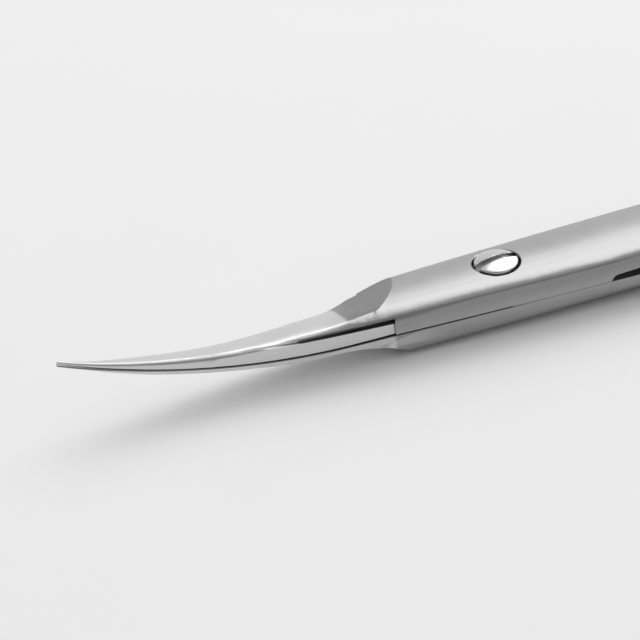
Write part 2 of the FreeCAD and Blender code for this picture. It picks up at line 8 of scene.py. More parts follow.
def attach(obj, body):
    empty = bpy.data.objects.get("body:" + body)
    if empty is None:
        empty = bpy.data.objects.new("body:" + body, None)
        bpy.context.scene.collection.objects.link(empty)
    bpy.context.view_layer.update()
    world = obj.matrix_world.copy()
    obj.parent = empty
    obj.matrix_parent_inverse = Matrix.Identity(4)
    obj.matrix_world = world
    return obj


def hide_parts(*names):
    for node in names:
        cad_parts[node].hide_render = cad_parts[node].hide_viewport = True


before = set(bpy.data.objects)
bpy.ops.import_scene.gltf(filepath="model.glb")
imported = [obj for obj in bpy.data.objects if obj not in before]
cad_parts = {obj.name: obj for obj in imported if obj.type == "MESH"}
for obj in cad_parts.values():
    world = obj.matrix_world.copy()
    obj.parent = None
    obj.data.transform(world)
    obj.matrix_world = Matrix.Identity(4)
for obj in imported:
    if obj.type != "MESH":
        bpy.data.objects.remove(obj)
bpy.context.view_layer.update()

bl_info = {
    "name": "Cuticle scissors",
    "version": (1, 0, 0),
    "blender": (4, 5, 0),
    "location": "View3D > Sidebar > Scissors",
    "description": "Finishes a pair of cuticle scissors in satin and polished steel, on a pale table",
    "category": "Object",
}


# ---------------------------------------------------------------- settings

class SteelSettings(bpy.types.PropertyGroup):
    """Colours and finishes of the metal."""

    satin_colour: FloatVectorProperty(
        name="Satin steel", description="Colour of the brushed steel of both halves",
        default=(0.4, 0.4, 0.402), subtype="COLOR", min=0, max=1)
    satin_roughness: FloatProperty(
        name="Satin roughness", description="How far the brushed steel spreads a reflection",
        default=0.3, min=0, max=1, subtype="FACTOR")
    polished_colour: FloatVectorProperty(
        name="Polished steel", description="Colour of the pivot screw",
        default=(0.6, 0.6, 0.605), subtype="COLOR", min=0, max=1)
    polished_roughness: FloatProperty(
        name="Polish roughness", description="How far the polished screw spreads a reflection",
        default=0.2, min=0, max=1, subtype="FACTOR")
    # The ground faces are a finish of their own; their brighter colour is also a painted reflection of the
    # light they face.
    ground_and_sheen_colour: FloatVectorProperty(
        name="Ground steel", description="Colour of the brighter, ground faces of the blades",
        default=(0.74, 0.74, 0.745), subtype="COLOR", min=0, max=1)
    # Painted shade: this darker colour stands in for the dark reflection on the flank just under the joint's
    # rounded edge.
    flank_shade_colour: FloatVectorProperty(
        name="Flank shade", description="Colour of the joint's cross-brushed flank under its rounded edge",
        default=(0.27, 0.27, 0.272), subtype="COLOR", min=0, max=1)
    # Painted shade: this darker colour stands in for the shade on the ramp, which leans away from the light.
    ramp_shade_colour: FloatVectorProperty(
        name="Ramp shade", description="Colour of the oblique ramp between joint and blade",
        default=(0.285, 0.285, 0.287), subtype="COLOR", min=0, max=1)
    # Painted shade: this dark colour stands in for the shade in the grooves and the recess, along the seam
    # and in the groove's line.
    groove_shade_colour: FloatVectorProperty(
        name="Groove", description="Colour of the rough metal in the grooves, the slot and the recess",
        default=(0.17, 0.17, 0.17), subtype="COLOR", min=0, max=1)
    slot_colour: FloatVectorProperty(
        name="Slot", description="Colour of the rough metal in the driver slot and on the head's wall",
        default=(0.62, 0.62, 0.62), subtype="COLOR", min=0, max=1)
    groove_roughness: FloatProperty(
        name="Groove roughness", description="How far the rough metal spreads a reflection",
        default=0.5, min=0, max=1, subtype="FACTOR")
    smooth_angle: FloatProperty(
        name="Smooth below", description="Faces that meet at less than this angle are shaded as one",
        default=radians(25), subtype="ANGLE", unit="ROTATION")


class StageSettings(bpy.types.PropertyGroup):
    """Table, light and camera."""

    table_colour: FloatVectorProperty(
        name="Table", description="Colour of the table top",
        default=(0.97, 0.97, 0.97), subtype="COLOR", min=0, max=1)
    table_width: FloatProperty(
        name="Table width", description="Side of the square table top",
        default=4.0, unit="LENGTH")
    lamp_power: FloatProperty(
        name="Lamp power", description="Power in watts of the lamp that lights table and scissors",
        default=2.8, min=0)
    lamp_width: FloatProperty(
        name="Lamp width", description="Side of that square lamp",
        default=0.65, unit="LENGTH")
    lamp_bearing: FloatProperty(
        name="Lamp bearing", description="Bearing of the lamp from +X towards +Y",
        default=radians(44), subtype="ANGLE", unit="ROTATION")
    lamp_height: FloatProperty(
        name="Lamp elevation", description="Angle of the lamp above the table",
        default=radians(46), subtype="ANGLE", unit="ROTATION")
    card_power: FloatProperty(
        name="Card power", description="Power in watts of the glowing card that only shows in the metal",
        default=4.0, min=0)
    card_width: FloatProperty(
        name="Card width", description="Side of that square card",
        default=1.0, unit="LENGTH")
    card_bearing: FloatProperty(
        name="Card bearing", description="Bearing of the card from +X towards +Y",
        default=radians(25), subtype="ANGLE", unit="ROTATION")
    card_height: FloatProperty(
        name="Card elevation", description="Angle of the card above the table",
        default=radians(50), subtype="ANGLE", unit="ROTATION")
    lamp_distance: FloatProperty(
        name="Lamp distance", description="From the joint to lamp and card",
        default=0.8, unit="LENGTH")
    room_light: FloatProperty(
        name="Room light", description="Light from the room all round", default=0.6, min=0)
    room_change: FloatProperty(
        name="Room change",
        description="How much lighter the room is behind the scissors than in front of them",
        default=0.38, min=0)
    room_bearing: FloatProperty(
        name="Room bearing", description="Bearing of the room's lightest side from +X towards +Y",
        default=radians(35), subtype="ANGLE", unit="ROTATION")
    view_bearing: FloatProperty(
        name="Camera bearing", description="How far the camera is turned round the pivot axis",
        default=radians(-19.2), subtype="ANGLE", unit="ROTATION")
    view_height: FloatProperty(
        name="Camera elevation", description="How high above the table the camera looks from",
        default=radians(32), subtype="ANGLE", unit="ROTATION")
    view_roll: FloatProperty(
        name="Camera roll", description="How far the camera is tilted sideways",
        default=radians(5), subtype="ANGLE", unit="ROTATION")
    view_distance: FloatProperty(
        name="Camera distance", description="From the camera to the screw head",
        default=0.4, unit="LENGTH")


# ---------------------------------------------------------------- materials

# Places on the halves, in millimetres from the pivot.
PARTING = 2.1                   # height of the parting face at the joint
SHOULDER = 9.3                  # pivot to the blade's root
CURVE_START = 13.0              # pivot to where the blades begin to curve upwards
CURVE_RADIUS = 62.0
FLANK_START = 9.35              # pivot to where the flanks are ground
TOP_START = 12.8                # pivot to where the tops are ground
UPPER_SHEEN_SHARE = 0.66              # share of the ground faces' brightening on the upper blade; the lower blade gets all of it, as painted light
RIDGE_SATIN = 0.9               # share of satin in the finish of the blades' ridges
RAMP_TURN = radians(35)         # turn of the ramp's upper line from square across
RAMP_START = 7.05               # pivot to that line
RAMP_BOW = 0.12                 # how strongly the line bows
EDGE_FOOT = 3.85                # height where the joint's rounded edge meets its flank
SEAM_SHADE = 0.1                # reach of the painted shade above and below the seam
SEAM_FADE = (5.0, -7.0)         # along X: from no painted shade to full painted shade
GROOVE_LENGTH = 16.2
GROOVE_HEIGHT = 0.95            # of its floor over the parting face, at the shoulder
GROOVE_WIDTH = 0.55             # at the shoulder
GROOVE_SWELL = 0.9              # how strongly its floor rises and falls along its length
GROOVE_REST = 1.03              # share of its width at the shoulder, so that a little is left at its end
GROOVE_LINE = (-28.0, -20.0)    # along X: from no painted dark line at its end to the full line


def node(tree, kind, place, **values):
    """A shader node at a place in the editor, with its plain settings."""
    made = tree.nodes.new(kind)
    made.location = place
    for name, value in values.items():
        setattr(made, name, value)
    return made


def maths(tree, operation, place, *given):
    """A math node fed by sockets or by plain numbers; gives its result."""
    made = node(tree, "ShaderNodeMath", place, operation=operation)
    for slot, value in zip(made.inputs, given):
        if isinstance(value, (int, float)):
            slot.default_value = value
        else:
            tree.links.new(value, slot)
    return made.outputs["Value"]


def step(tree, place, value, low, high):
    """0 below low and 1 above high, with a soft change between."""
    made = node(tree, "ShaderNodeMapRange", place, interpolation_type="SMOOTHSTEP")
    made.inputs["From Min"].default_value = low
    made.inputs["From Max"].default_value = high
    tree.links.new(value, made.inputs["Value"])
    return made.outputs["Result"]


def ground_and_shade_group():
    """Where the halves are ground, and where painted shade goes: on the ramp, on the flank, along the seam
    and in the groove's line.
    """
    known = bpy.data.node_groups.get("ground_and_shade_places")
    if known:
        return known
    group = bpy.data.node_groups.new("ground_and_shade_places", "ShaderNodeTree")
    for name in ("Ground", "Ramp shade", "Flank shade", "Seam"):
        group.interface.new_socket(name, in_out="OUTPUT", socket_type="NodeSocketFloat")
    gave = node(group, "NodeGroupOutput", (2100, 0))
    place = node(group, "ShaderNodeTexCoord", (-900, 0))
    scaled = node(group, "ShaderNodeVectorMath", (-700, 100), operation="SCALE")
    scaled.inputs["Scale"].default_value = 1000
    at = node(group, "ShaderNodeSeparateXYZ", (-500, 100))
    facing = node(group, "ShaderNodeSeparateXYZ", (-500, -200))
    group.links.new(place.outputs["Object"], scaled.inputs[0])
    group.links.new(scaled.outputs["Vector"], at.inputs["Vector"])
    group.links.new(place.outputs["Normal"], facing.inputs["Vector"])
    # The flanks are ground from the shoulder on, the tops only from the ramp's foot on. Their brighter
    # colour is partly their own finish and partly a painted reflection of the light they face.
    is_top = step(group, (-300, -200), facing.outputs["Z"], 0.45, 0.75)
    border = maths(group, "MULTIPLY_ADD", (-100, -200), is_top, FLANK_START - TOP_START, -FLANK_START)
    beyond = maths(group, "SUBTRACT", (100, -100), border, at.outputs["X"])
    ground = step(group, (300, -100), beyond, -0.2, 0.2)
    # The rounded ridge between a blade's top and its near flank keeps the plain satin colour, without the
    # painted brightening, so that its highlight is not too bright.
    toward = step(group, (-300, -350), facing.outputs["Y"], -0.15, -0.4)
    leaning = step(group, (-100, -350), facing.outputs["Z"], 0.15, 0.35)
    ridge = maths(group, "MULTIPLY", (100, -350), toward, leaning)
    ridge = maths(group, "MULTIPLY_ADD", (300, -350), ridge, -RIDGE_SATIN, 1.0)
    ground = maths(group, "MULTIPLY", (500, -250), ground, ridge)
    # Painted shade on the ramp, which leans away from the light. The ramp's upper line runs obliquely across
    # the crown, with a slight bow.
    along = maths(group, "MULTIPLY", (-300, 300), at.outputs["X"], -cos(RAMP_TURN))
    along = maths(group, "MULTIPLY_ADD", (-100, 300), at.outputs["Y"], sin(RAMP_TURN), along)
    bow = maths(group, "POWER", (-300, 500), at.outputs["Y"], 2.0)
    along = maths(group, "MULTIPLY_ADD", (100, 300), bow, -RAMP_BOW, along)
    ramp = step(group, (300, 300), along, RAMP_START, RAMP_START + 0.1)
    ramp = maths(group, "MULTIPLY", (500, 300), ramp, is_top)
    joint = step(group, (300, 100), beyond, -0.2, 0.2)
    joint = maths(group, "SUBTRACT", (500, 0), 1.0, joint)
    ramp = maths(group, "MULTIPLY", (700, 200), ramp, joint)
    faces_away = step(group, (500, 500), facing.outputs["Y"], -0.25, 0.0)
    ramp = maths(group, "MULTIPLY", (900, 200), ramp, faces_away)
    # The lower half's inner face looks up too, but it has no ramp.
    outside = step(group, (700, 500), at.outputs["Z"], PARTING + 0.1, PARTING + 0.3)
    ramp = maths(group, "MULTIPLY", (1100, 200), ramp, outside)
    # Painted shade on the flank, standing in for its dark reflection: darkest just under the joint's rounded
    # edge and lighter towards the seam.
    below_round = step(group, (-300, -500), at.outputs["Z"], EDGE_FOOT + 0.1, EDGE_FOOT - 0.1)
    above_seam = step(group, (-300, -700), at.outputs["Z"], PARTING - 0.3, EDGE_FOOT - 0.2)
    flank = maths(group, "MULTIPLY", (-100, -600), below_round, above_seam)
    flank = maths(group, "MULTIPLY", (100, -600), flank, joint)
    # Painted shade along the seam between the halves, which follows the curve of the blades and fades out
    # behind the pivot.
    # It shows on the sides of the halves, not on their inner faces.
    ahead = maths(group, "MULTIPLY_ADD", (-300, -900), at.outputs["X"], -1.0, -CURVE_START)
    ahead = maths(group, "MAXIMUM", (-100, -900), ahead, 0.0)
    rise = maths(group, "MULTIPLY", (100, -900), ahead, ahead)
    over = maths(group, "MULTIPLY_ADD", (300, -900), rise, -0.5 / CURVE_RADIUS, at.outputs["Z"])
    over = maths(group, "SUBTRACT", (500, -900), over, PARTING)
    apart = maths(group, "ABSOLUTE", (700, -900), over)
    seam = step(group, (900, -900), apart, SEAM_SHADE, SEAM_SHADE - 0.05)
    fading = step(group, (700, -700), at.outputs["X"], *SEAM_FADE)
    seam = maths(group, "MULTIPLY", (1100, -800), seam, fading)
    flat = maths(group, "ABSOLUTE", (900, -500), facing.outputs["Z"])
    on_side = step(group, (1100, -600), flat, 0.8, 0.6)
    seam = maths(group, "MULTIPLY", (1300, -700), seam, on_side)
    # Painted shade: the groove between a blade's back and its facet runs out towards the tip in a painted
    # dark line.
    share = maths(group, "MULTIPLY_ADD", (-300, -1200), at.outputs["X"],
                  -1 / GROOVE_LENGTH, -SHOULDER / GROOVE_LENGTH)
    hump = maths(group, "SUBTRACT", (-100, -1200), GROOVE_SWELL, share)
    hump = maths(group, "MULTIPLY", (100, -1200), hump, share)
    floor = maths(group, "MULTIPLY_ADD", (300, -1200), hump, GROOVE_HEIGHT, GROOVE_HEIGHT)
    left = maths(group, "SUBTRACT", (-100, -1400), GROOVE_REST, share)
    left = maths(group, "MAXIMUM", (100, -1400), left, 0.0)
    above_floor = maths(group, "SUBTRACT", (500, -1200), over, floor)
    below_roof = maths(group, "MULTIPLY_ADD", (500, -1400), left, GROOVE_WIDTH, 0.04)
    below_roof = maths(group, "SUBTRACT", (700, -1400), below_roof, above_floor)
    line = step(group, (900, -1100), below_roof, 0.15, 0.12)
    for limit, place_x, low, high in (
            (below_roof, 1100, -0.01, 0.02),
            (at.outputs["X"], 1300, *GROOVE_LINE),
            (at.outputs["X"], 1500, 0.1 - SHOULDER, -0.1 - SHOULDER),
            (facing.outputs["Y"], 1700, -0.3, -0.6)):
        within = step(group, (place_x - 200, -1500), limit, low, high)
        line = maths(group, "MULTIPLY", (place_x, -1200), line, within)
    seam = maths(group, "MAXIMUM", (1900, -1000), seam, line)
    # Painted light: the lower blade's ground faces get the full brightening and the upper one's only part of
    # it, standing in for the brighter light that the lower flank reflects.
    below = step(group, (1300, -400), over, 0.02, -0.02)
    below = maths(group, "MULTIPLY_ADD", (1500, -400), below, 1 - UPPER_SHEEN_SHARE, UPPER_SHEEN_SHARE)
    ground = maths(group, "MULTIPLY", (1700, -200), ground, below)
    for name, mask in (("Ground", ground), ("Ramp shade", ramp), ("Flank shade", flank), ("Seam", seam)):
        group.links.new(mask, gave.inputs[name])
    return group


def brushing_group():
    """Fine brush lines along X with broad patches under them: a tone, a roughness change and a height."""
    known = bpy.data.node_groups.get("brush_lines")
    if known:
        return known
    group = bpy.data.node_groups.new("brush_lines", "ShaderNodeTree")
    for name, start in (("Line density", 1.0), ("Tone change", 0.1)):
        group.interface.new_socket(name, in_out="INPUT", socket_type="NodeSocketFloat").default_value = start
    for name in ("Tone", "Lines", "Patches"):
        group.interface.new_socket(name, in_out="OUTPUT", socket_type="NodeSocketFloat")
    took = node(group, "NodeGroupInput", (-900, 0))
    gave = node(group, "NodeGroupOutput", (700, 0))
    place = node(group, "ShaderNodeTexCoord", (-900, 300))
    # Brush lines: noise drawn out along the length of the scissors.
    stretch = node(group, "ShaderNodeMapping", (-650, 300))
    stretch.inputs["Scale"].default_value = (120, 6000, 6000)
    lines = node(group, "ShaderNodeTexNoise", (-400, 300))
    lines.inputs["Detail"].default_value = 4
    lines.inputs["Roughness"].default_value = 0.6
    patches = node(group, "ShaderNodeTexNoise", (-400, 0))
    patches.inputs["Scale"].default_value = 350
    patches.inputs["Detail"].default_value = 4
    both = node(group, "ShaderNodeMath", (-150, 150), operation="ADD")
    centred = node(group, "ShaderNodeMath", (50, 150), operation="SUBTRACT")
    centred.inputs[1].default_value = 1.0
    scaled = node(group, "ShaderNodeMath", (250, 150), operation="MULTIPLY_ADD")
    scaled.inputs[2].default_value = 1.0
    link = group.links.new
    link(place.outputs["Object"], stretch.inputs["Vector"])
    link(stretch.outputs["Vector"], lines.inputs["Vector"])
    link(took.outputs["Line density"], lines.inputs["Scale"])
    link(place.outputs["Object"], patches.inputs["Vector"])
    link(lines.outputs["Fac"], both.inputs[0])
    link(patches.outputs["Fac"], both.inputs[1])
    link(both.outputs["Value"], centred.inputs[0])
    link(centred.outputs["Value"], scaled.inputs[0])
    link(took.outputs["Tone change"], scaled.inputs[1])
    link(scaled.outputs["Value"], gave.inputs["Tone"])
    link(lines.outputs["Fac"], gave.inputs["Lines"])
    link(patches.outputs["Fac"], gave.inputs["Patches"])
    return group


def steel(name, colour, roughness, spread, line_density, tone_change, line_height, wave_height, places=()):
    """Steel with brush lines and faint waves in its colour, its roughness and its surface.

    spread is how far the roughness strays to either side; the two heights are in metres.
    places names the ground faces and the places of painted shade that get another colour.
    """
    material = bpy.data.materials.get(name)
    if material:
        return material
    material = bpy.data.materials.new(name)
    material.use_nodes = True
    tree = material.node_tree
    shader = tree.nodes["Principled BSDF"]
    shader.inputs["Metallic"].default_value = 1.0
    brushing = node(tree, "ShaderNodeGroup", (-900, 0), node_tree=brushing_group())
    brushing.inputs["Line density"].default_value = line_density
    brushing.inputs["Tone change"].default_value = tone_change
    tint = node(tree, "ShaderNodeMix", (-500, 200), data_type="RGBA", blend_type="MULTIPLY")
    tint.inputs["Factor"].default_value = 1.0
    tint.inputs[6].default_value = (*colour, 1)
    if places:
        grinding = node(tree, "ShaderNodeGroup", (-1300, 300), node_tree=ground_and_shade_group())
    shown = None
    for index, (place, own_colour) in enumerate(places):
        blend = node(tree, "ShaderNodeMix", (-1000 + 200 * index, 400), data_type="RGBA")
        blend.inputs[6].default_value = (*colour, 1)
        blend.inputs[7].default_value = (*own_colour, 1)
        tree.links.new(grinding.outputs[place], blend.inputs["Factor"])
        if shown:
            tree.links.new(shown, blend.inputs[6])
        shown = blend.outputs[2]
        tree.links.new(shown, tint.inputs[6])
    uneven = node(tree, "ShaderNodeMapRange", (-500, -50))
    uneven.inputs["From Min"].default_value = 0.3
    uneven.inputs["From Max"].default_value = 0.7
    uneven.inputs["To Min"].default_value = roughness - spread
    uneven.inputs["To Max"].default_value = roughness + spread
    waves = node(tree, "ShaderNodeBump", (-700, -350))
    waves.inputs["Strength"].default_value = 1.0
    waves.inputs["Distance"].default_value = wave_height
    relief = node(tree, "ShaderNodeBump", (-500, -350))
    relief.inputs["Strength"].default_value = 1.0
    relief.inputs["Distance"].default_value = line_height
    link = tree.links.new
    link(brushing.outputs["Tone"], tint.inputs[7])
    link(tint.outputs[2], shader.inputs["Base Color"])
    link(brushing.outputs["Patches"], uneven.inputs["Value"])
    link(uneven.outputs["Result"], shader.inputs["Roughness"])
    link(brushing.outputs["Patches"], waves.inputs["Height"])
    link(waves.outputs["Normal"], relief.inputs["Normal"])
    link(brushing.outputs["Lines"], relief.inputs["Height"])
    link(relief.outputs["Normal"], shader.inputs["Normal"])
    return material


def satin_steel():
    finish = bpy.context.scene.scissors_steel
    # Ground faces get a brighter colour, partly a painted reflection; ramp, flank and seam get painted
    # shade.
    places = (("Ground", finish.ground_and_sheen_colour), ("Ramp shade", finish.ramp_shade_colour),
              ("Flank shade", finish.flank_shade_colour), ("Seam", finish.groove_shade_colour))
    return steel("brushed_satin", finish.satin_colour, finish.satin_roughness, spread=0.03, line_density=1.0,
                 tone_change=0.12, line_height=0.000003, wave_height=0.00002, places=places)


def polished_steel():
    finish = bpy.context.scene.scissors_steel
    return steel("polished_head", finish.polished_colour, finish.polished_roughness, spread=0.02,
                 line_density=0.7, tone_change=0.04, line_height=0.0000005, wave_height=0.00001)


# Rough steel whose dark colour is painted shade in the groove, the bores and the recess.
def rough_shaded_steel():
    finish = bpy.context.scene.scissors_steel
    return steel("rough_groove_shade", finish.groove_shade_colour, finish.groove_roughness, spread=0.05,
                 line_density=1.0, tone_change=0.2, line_height=0.000004, wave_height=0.00001)


def milled_steel():
    finish = bpy.context.scene.scissors_steel
    return steel("milled_slot", finish.slot_colour, finish.satin_roughness, spread=0.05,
                 line_density=1.0, tone_change=0.2, line_height=0.000003, wave_height=0.00001)


# ---------------------------------------------------------------- pieces

# Places on the halves and the screw, in millimetres.
PLATE_FRONT = 10.6              # pivot to the front of the joint's plate
FRONT_STEP = 0.14               # the plate's front stands out by less than this
SHOULDER_STEP = 0.16            # and the shoulder by less than this
LAP_END = 14                    # pivot to the end of the lap
RECESS_RADIUS = 1.88
RECESS_BEVEL = 0.06
FLANK_ROWS = (3.55, 3.25, 2.95, 2.65)   # heights of the cuts along the joint's near flank
GROOVE_SHADE_END = 17                # pivot to where the groove is too narrow for its faces to get the painted shade
BLADE_LENGTH = 25.8             # shoulder to tip
BLADE_TIP = 0.14                # half width at the tip
BLADE_TAPER = 2.18              # how much more half width there is at the shoulder
TAPER_POWER = 1.4
EDGE_ROUND = 0.45               # radius of the joint's long upper edges
CROWN_TILT = radians(82)        # slope of the crown's edge
SOFT_FROM, SOFT_TO = -12.6, 13  # along X: where the near edge is shaded as a wider round
SOFT_WIDTH = 0.35               # extra width of that round
SOFT_FRONT = 0.45               # and its further width ahead of SOFT_BEGIN
SOFT_BEGIN = -4
SOFT_LIMIT = radians(74)        # the crown above this slope keeps its own shading
SEAT = 3.52                     # heights of the screw's seat, its rim and its dome over the rim
RIM = 4.66
DOME_RISE = 0.31
HEAD_RADIUS = 1.68
SHANK_RADIUS = 1.15
END_CHAMFER = 0.2
RIM_ROUND = 0.12
SLOT_WIDTH = 0.6
SLOT_DEPTH = 0.7
SLOT_TURN = radians(7)
SLOT_BEVEL = 0.05
DOME_STEPS, ROUND_STEPS, TURN_STEPS = 8, 6, 96
SCREW_SMOOTH = radians(30)      # faces of the screw that meet at less than this are shaded as one


def select_only(piece):
    bpy.ops.object.select_all(action="DESELECT")
    piece.select_set(True)
    bpy.context.view_layer.objects.active = piece


def in_mm(vector):
    return vector[0] * 1000, vector[1] * 1000, vector[2] * 1000


def pick(piece, verts=None, edges=None, faces=None):
    """Select, in code, the points, edges or faces that a test names, and go into edit mode."""
    mesh = piece.data
    for kind in (mesh.vertices, mesh.edges, mesh.polygons):
        for item in kind:
            item.select = False
    mode = "VERT" if verts else "EDGE" if edges else "FACE"
    count = 0
    for test, kind in ((verts, mesh.vertices), (edges, mesh.edges), (faces, mesh.polygons)):
        if test:
            for item in kind:
                item.select = test(item)
                count += item.select
    bpy.ops.object.mode_set(mode="EDIT")
    bpy.ops.mesh.select_mode(type=mode)
    return count


def done_picking():
    bpy.ops.object.mode_set(mode="OBJECT")


def dressed_copy(cad_name, name):
    """A copy of a CAD node as one closed skin."""
    piece = bpy.data.objects.new(name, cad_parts[cad_name].data.copy())
    piece.data.name = name
    bpy.context.scene.collection.objects.link(piece)
    select_only(piece)
    piece.data.materials.clear()
    bpy.ops.mesh.customdata_custom_splitnormals_clear()
    bpy.ops.object.mode_set(mode="EDIT")
    bpy.ops.mesh.select_all(action="SELECT")
    bpy.ops.mesh.remove_doubles(threshold=0.0000005)
    bpy.ops.object.mode_set(mode="OBJECT")
    return piece


def settle(piece, cad_name, body):
    """The piece stands for its CAD node and moves with the node's body."""
    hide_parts(cad_name)
    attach(piece, body)


def level_steps(piece, reach, width):
    """Draw the hair-thin steps across the scissors at one distance from the pivot into lines."""
    ends = set()
    for face in piece.data.polygons:
        if abs(face.normal.x) > 0.9 and abs(face.center.x * 1000 + reach) < 0.06:
            ends.update(face.vertices)
    pick(piece, verts=lambda vert: vert.index in ends)
    bpy.ops.mesh.remove_doubles(threshold=width / 1000)
    done_picking()


def bevel_recess(piece):
    """Break the upper edge of the head's recess."""
    mesh = piece.data

    def on_rim(edge):
        ends = [in_mm(mesh.vertices[index].co) for index in edge.vertices]
        return all(abs(hypot(x, y) - RECESS_RADIUS) < 0.01 and z > 4.2 for x, y, z in ends)

    pick(piece, edges=on_rim)
    bpy.ops.mesh.bevel(offset=RECESS_BEVEL / 1000, segments=1)
    done_picking()


def cut_flank_rows(piece):
    """Cut the joint's near flank into rows, so that its shading can change down its height."""
    def on_flank(face):
        x, y, z = in_mm(face.center)
        return -SHOULDER - 0.1 < x < LAP_END and y < -1.5 and face.normal.y < -0.85 and z > PARTING

    for height in FLANK_ROWS:
        pick(piece, faces=on_flank)
        bpy.ops.mesh.bisect(plane_co=(0, 0, height / 1000), plane_no=(0, 0, 1))
        done_picking()


def in_groove(face, up):
    """Whether a face is the roof, wall or floor of the groove between a blade's back and its facet."""
    x, y, z = in_mm(face.center)
    reach = -x
    if not SHOULDER - 0.05 < reach < GROOVE_SHADE_END:
        return False
    share = (reach - SHOULDER) / GROOVE_LENGTH
    left = GROOVE_REST - share
    half = BLADE_TIP + BLADE_TAPER * (1 - max((reach - SHOULDER) / BLADE_LENGTH, 0) ** TAPER_POWER)
    top = GROOVE_HEIGHT * (1 + GROOVE_SWELL * share - share * share)
    rise = CURVE_RADIUS - sqrt(CURVE_RADIUS ** 2 - max(reach - CURVE_START, 0) ** 2)
    height = (z - PARTING - rise) * up
    tilt = face.normal.z * up
    if not (y * up < 0 and top - 0.05 < height < top + GROOVE_WIDTH * left + 0.05):
        return False
    depth = half + y * up
    if tilt < -0.5:
        return True
    if abs(tilt) < 0.2:
        return depth > 0.25 * left + 0.05
    return 0.5 < tilt and 0.05 < depth < 0.6 * left and height < top + 0.3 * left


def paint_shade_in_hollows(piece, up):
    """Give the groove, the bores and the recess the rough, dark material: painted shade in these hollows."""
    for face in piece.data.polygons:
        x, y, z = in_mm(face.center)
        face.material_index = int(in_groove(face, up) or hypot(x, y) < RECESS_RADIUS - 0.01)


def mark_ramp_line(piece):
    """Keep the line where the ramp leaves the crown crisp."""
    mesh = piece.data
    sides = {}
    for face in mesh.polygons:
        for key in face.edge_keys:
            sides.setdefault(key, []).append(face)

    def on_line(edge):
        x, y, z = in_mm((mesh.vertices[edge.vertices[0]].co + mesh.vertices[edge.vertices[1]].co) / 2)
        faces = sides.get(tuple(sorted(edge.vertices)), ())
        if not (-11 < x < -6 and z > 4 and len(faces) == 2):
            return False
        along = -cos(RAMP_TURN) * x + sin(RAMP_TURN) * y - RAMP_BOW * y * y - RAMP_START
        return (abs(along) < 0.2 and min(face.normal.z for face in faces) > 0.85
                and min(face.normal.y for face in faces) > -0.2
                and faces[0].normal.angle(faces[1].normal) > radians(12))

    found = pick(piece, edges=on_line)
    bpy.ops.mesh.mark_sharp()
    done_picking()
    if not found:
        raise RuntimeError("the ramp's upper line was not found")


def soften_near_edge(piece):
    """Shade the joint's near upper edge as the wide, soft round that hand polishing leaves."""
    mesh = piece.data
    normals = [corner.vector.copy() for corner in mesh.corner_normals]
    for corner, normal in zip(mesh.loops, normals):
        x, y, z = in_mm(mesh.vertices[corner.vertex_index].co)
        if not (SOFT_FROM < x < SOFT_TO and y < -1.2 and z > 2.5 and normal.y < -0.1 and normal.z > -0.2):
            continue
        if hypot(x, y) < RECESS_RADIUS + 0.1:
            continue
        slope = asin(max(-1.0, min(1.0, normal.z)))
        if slope > SOFT_LIMIT:
            continue
        down = EDGE_ROUND * max(CROWN_TILT - slope, 0) + max(EDGE_FOOT - z, 0)
        ahead = max(0, min(1, (SOFT_BEGIN - x) / 5)) * min(1, (x - SOFT_FROM) / 2)
        extra = SOFT_WIDTH * min(1, (SOFT_TO - x) / 5) + SOFT_FRONT * ahead
        new_slope = CROWN_TILT * (1 - down / (EDGE_ROUND * CROWN_TILT + extra))
        if new_slope > slope:
            flat = Vector((normal.x, normal.y, 0)).normalized()
            normal[:] = flat * cos(new_slope) + Vector((0, 0, sin(new_slope)))
    mesh.normals_split_custom_set(normals)


class SCISSORS_OT_halves(bpy.types.Operator):
    """Both forged halves, from blade tip to finger ring, in satin steel"""

    bl_idname = "scissors.halves"
    bl_label = "Both halves"

    def execute(self, context):
        angle = context.scene.scissors_steel.smooth_angle
        for cad_name, body, up in (("upper_half", "upper", 1), ("lower_half", "lower", -1)):
            piece = dressed_copy(cad_name, cad_name + "_satin")
            level_steps(piece, PLATE_FRONT, FRONT_STEP)
            level_steps(piece, SHOULDER, SHOULDER_STEP)
            if up > 0:
                bevel_recess(piece)
                cut_flank_rows(piece)
            bpy.ops.object.shade_smooth_by_angle(angle=angle)
            if up > 0:
                mark_ramp_line(piece)
                soften_near_edge(piece)
            piece.data.materials.append(satin_steel())
            piece.data.materials.append(rough_shaded_steel())
            paint_shade_in_hollows(piece, up)
            settle(piece, cad_name, body)
        return {"FINISHED"}


def screw_profile():
    """Half outline of the turned screw from the middle of its dome to the middle of its end."""
    dome_radius = HEAD_RADIUS ** 2 / (2 * DOME_RISE) + DOME_RISE / 2
    middle = RIM + DOME_RISE - dome_radius
    round_out = HEAD_RADIUS - RIM_ROUND
    lean = asin(round_out / (dome_radius - RIM_ROUND))
    round_up = middle + cos(lean) * (dome_radius - RIM_ROUND)
    points = []
    for index in range(DOME_STEPS + 1):
        turn = lean * index / DOME_STEPS
        points.append((dome_radius * sin(turn), middle + dome_radius * cos(turn)))
    for index in range(1, ROUND_STEPS + 1):
        turn = lean + (pi / 2 - lean) * index / ROUND_STEPS
        points.append((round_out + RIM_ROUND * sin(turn), round_up + RIM_ROUND * cos(turn)))
    return points + [(HEAD_RADIUS, SEAT), (SHANK_RADIUS, SEAT), (SHANK_RADIUS, END_CHAMFER),
                     (SHANK_RADIUS - END_CHAMFER, 0), (0, 0)]


